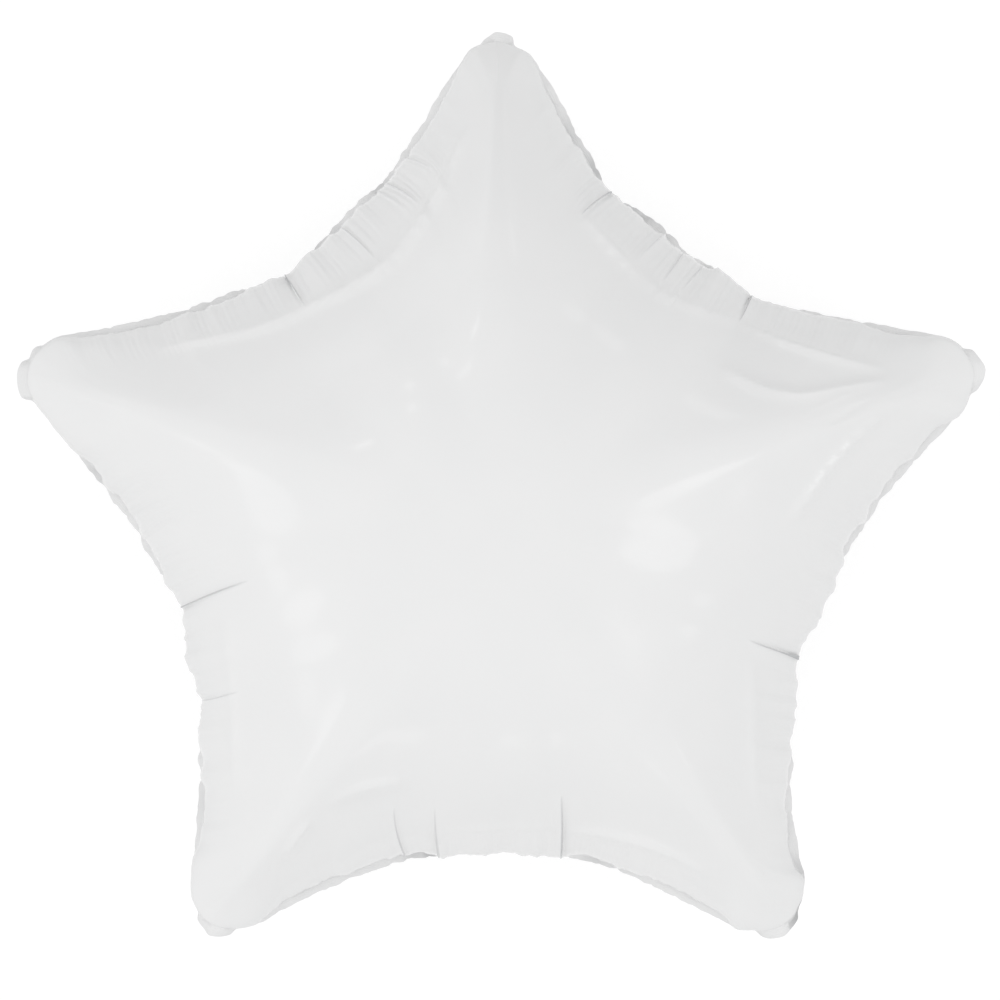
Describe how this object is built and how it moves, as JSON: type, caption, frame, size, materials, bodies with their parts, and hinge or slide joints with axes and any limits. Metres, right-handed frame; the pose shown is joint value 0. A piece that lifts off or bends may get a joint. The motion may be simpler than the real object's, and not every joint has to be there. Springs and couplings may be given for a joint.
{
  "type": "star foil balloon",
  "caption": "Blown-up star-shaped foil balloon: front and back film welded round a creased, gathered seam, with a blunt tab on each point.",
  "frame": {"origin": "middle of the small flat spot on the back film that the balloon lies on, under the star's centre", "axes": "+Z out of the front film, +Y towards the top point of the star, +X towards the right point seen from the front"},
  "size_m": [0.4507, 0.4246, 0.14],
  "materials": {
    "white_film": "soft-gloss white coated foil film"
  },
  "bodies": {
    "root": {"balloon": "white_film"}
  },
  "joints": []
}
